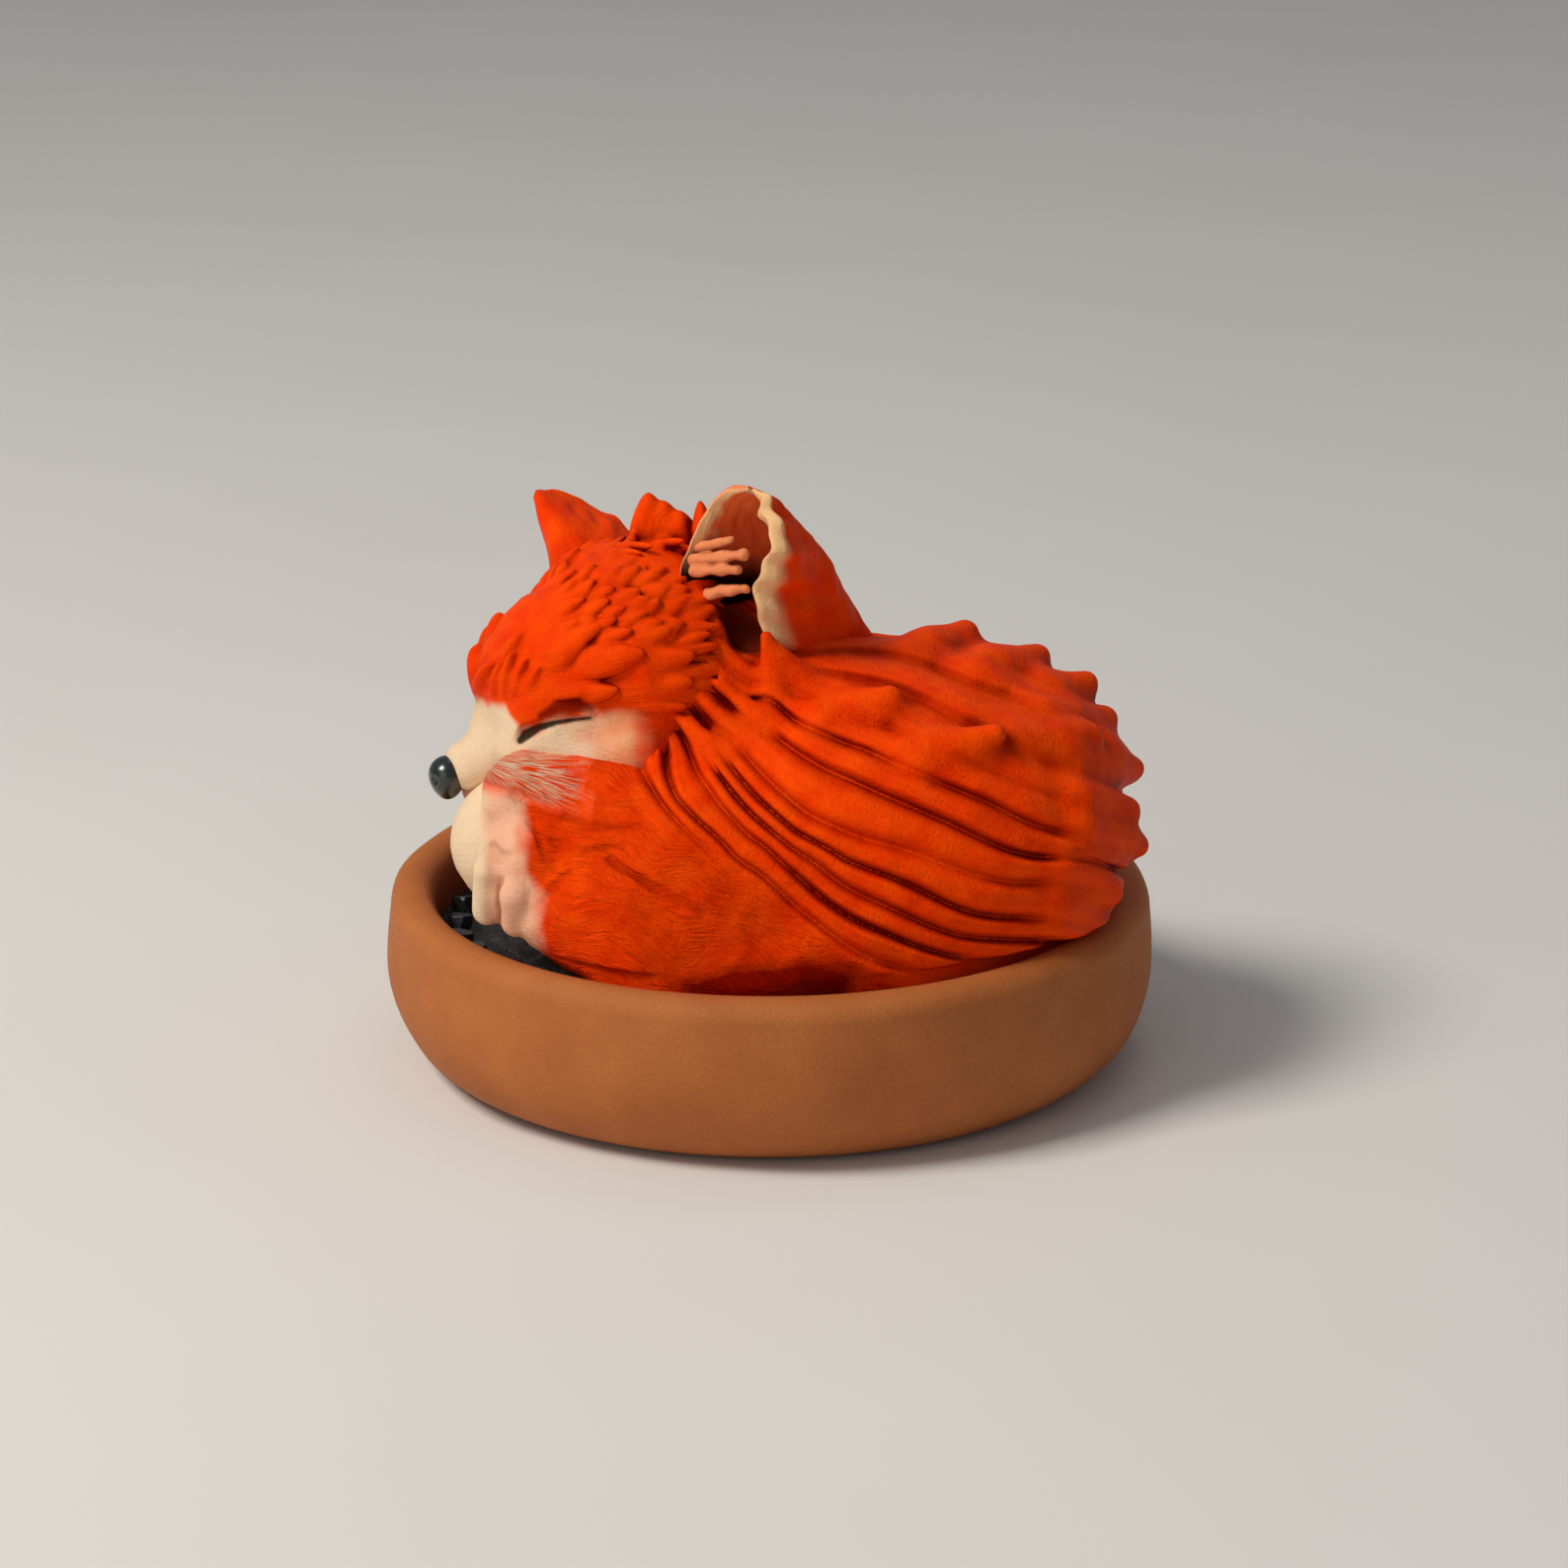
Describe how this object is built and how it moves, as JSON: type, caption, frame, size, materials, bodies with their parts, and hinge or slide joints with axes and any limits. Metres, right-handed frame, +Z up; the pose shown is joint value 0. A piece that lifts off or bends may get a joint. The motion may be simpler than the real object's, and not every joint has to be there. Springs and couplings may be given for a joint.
{
  "type": "fox figurine",
  "caption": "Hand-modelled clay fox asleep with its head on its paws, curled on a dark stone bed in a round clay dish; the fox lifts out.",
  "frame": {"origin": "centre of the dish's flat underside", "axes": "+Z up; the fox faces -X, its left side toward -Y"},
  "size_m": [0.06, 0.06, 0.0466],
  "materials": {
    "dish_clay": "matte, speckled",
    "dark_bed": "glossy poured bed",
    "bed_stone": "polished",
    "orange_clay": "satin, dark red in the grooves",
    "cream_clay": "satin",
    "pink_clay": "satin",
    "black_clay": "gloss",
    "foil": "crumpled foil",
    "wire": "plain wire"
  },
  "bodies": {
    "dish": {"dish": "dish_clay", "bed": "dark_bed", "bed_stones": "bed_stone"},
    "fox": {"torso": "orange_clay", "foil_core": "foil", "neck_wire": "wire", "neck": "orange_clay", "head": "orange_clay", "muzzle": "cream_clay", "nose": "black_clay", "lip": "pink_clay", "foreleg_near": "orange_clay", "foreleg_far": "orange_clay", "paw_near": "cream_clay", "paw_far": "cream_clay", "toes": "cream_clay", "tail": "orange_clay", "tail_tip": "cream_clay", "ear_near": "orange_clay", "ear_far": "orange_clay", "ear_lining_near": "pink_clay", "ear_lining_far": "pink_clay", "ear_tufts": "orange_clay", "crown_tuft": "orange_clay", "eyelid_near": "orange_clay", "eyelid_far": "orange_clay", "brow_near": "orange_clay", "brow_far": "orange_clay", "cheek_near": "cream_clay", "cheek_far": "cream_clay", "ruff_near": "orange_clay", "ruff_far": "orange_clay", "mane": "orange_clay", "back_locks": "orange_clay"}
  },
  "joints": [
    {"name": "lift_out", "type": "slide", "parent": "dish", "child": "fox", "axis": [0, 0, 1], "range_m": [0, 0.025]}
  ]
}
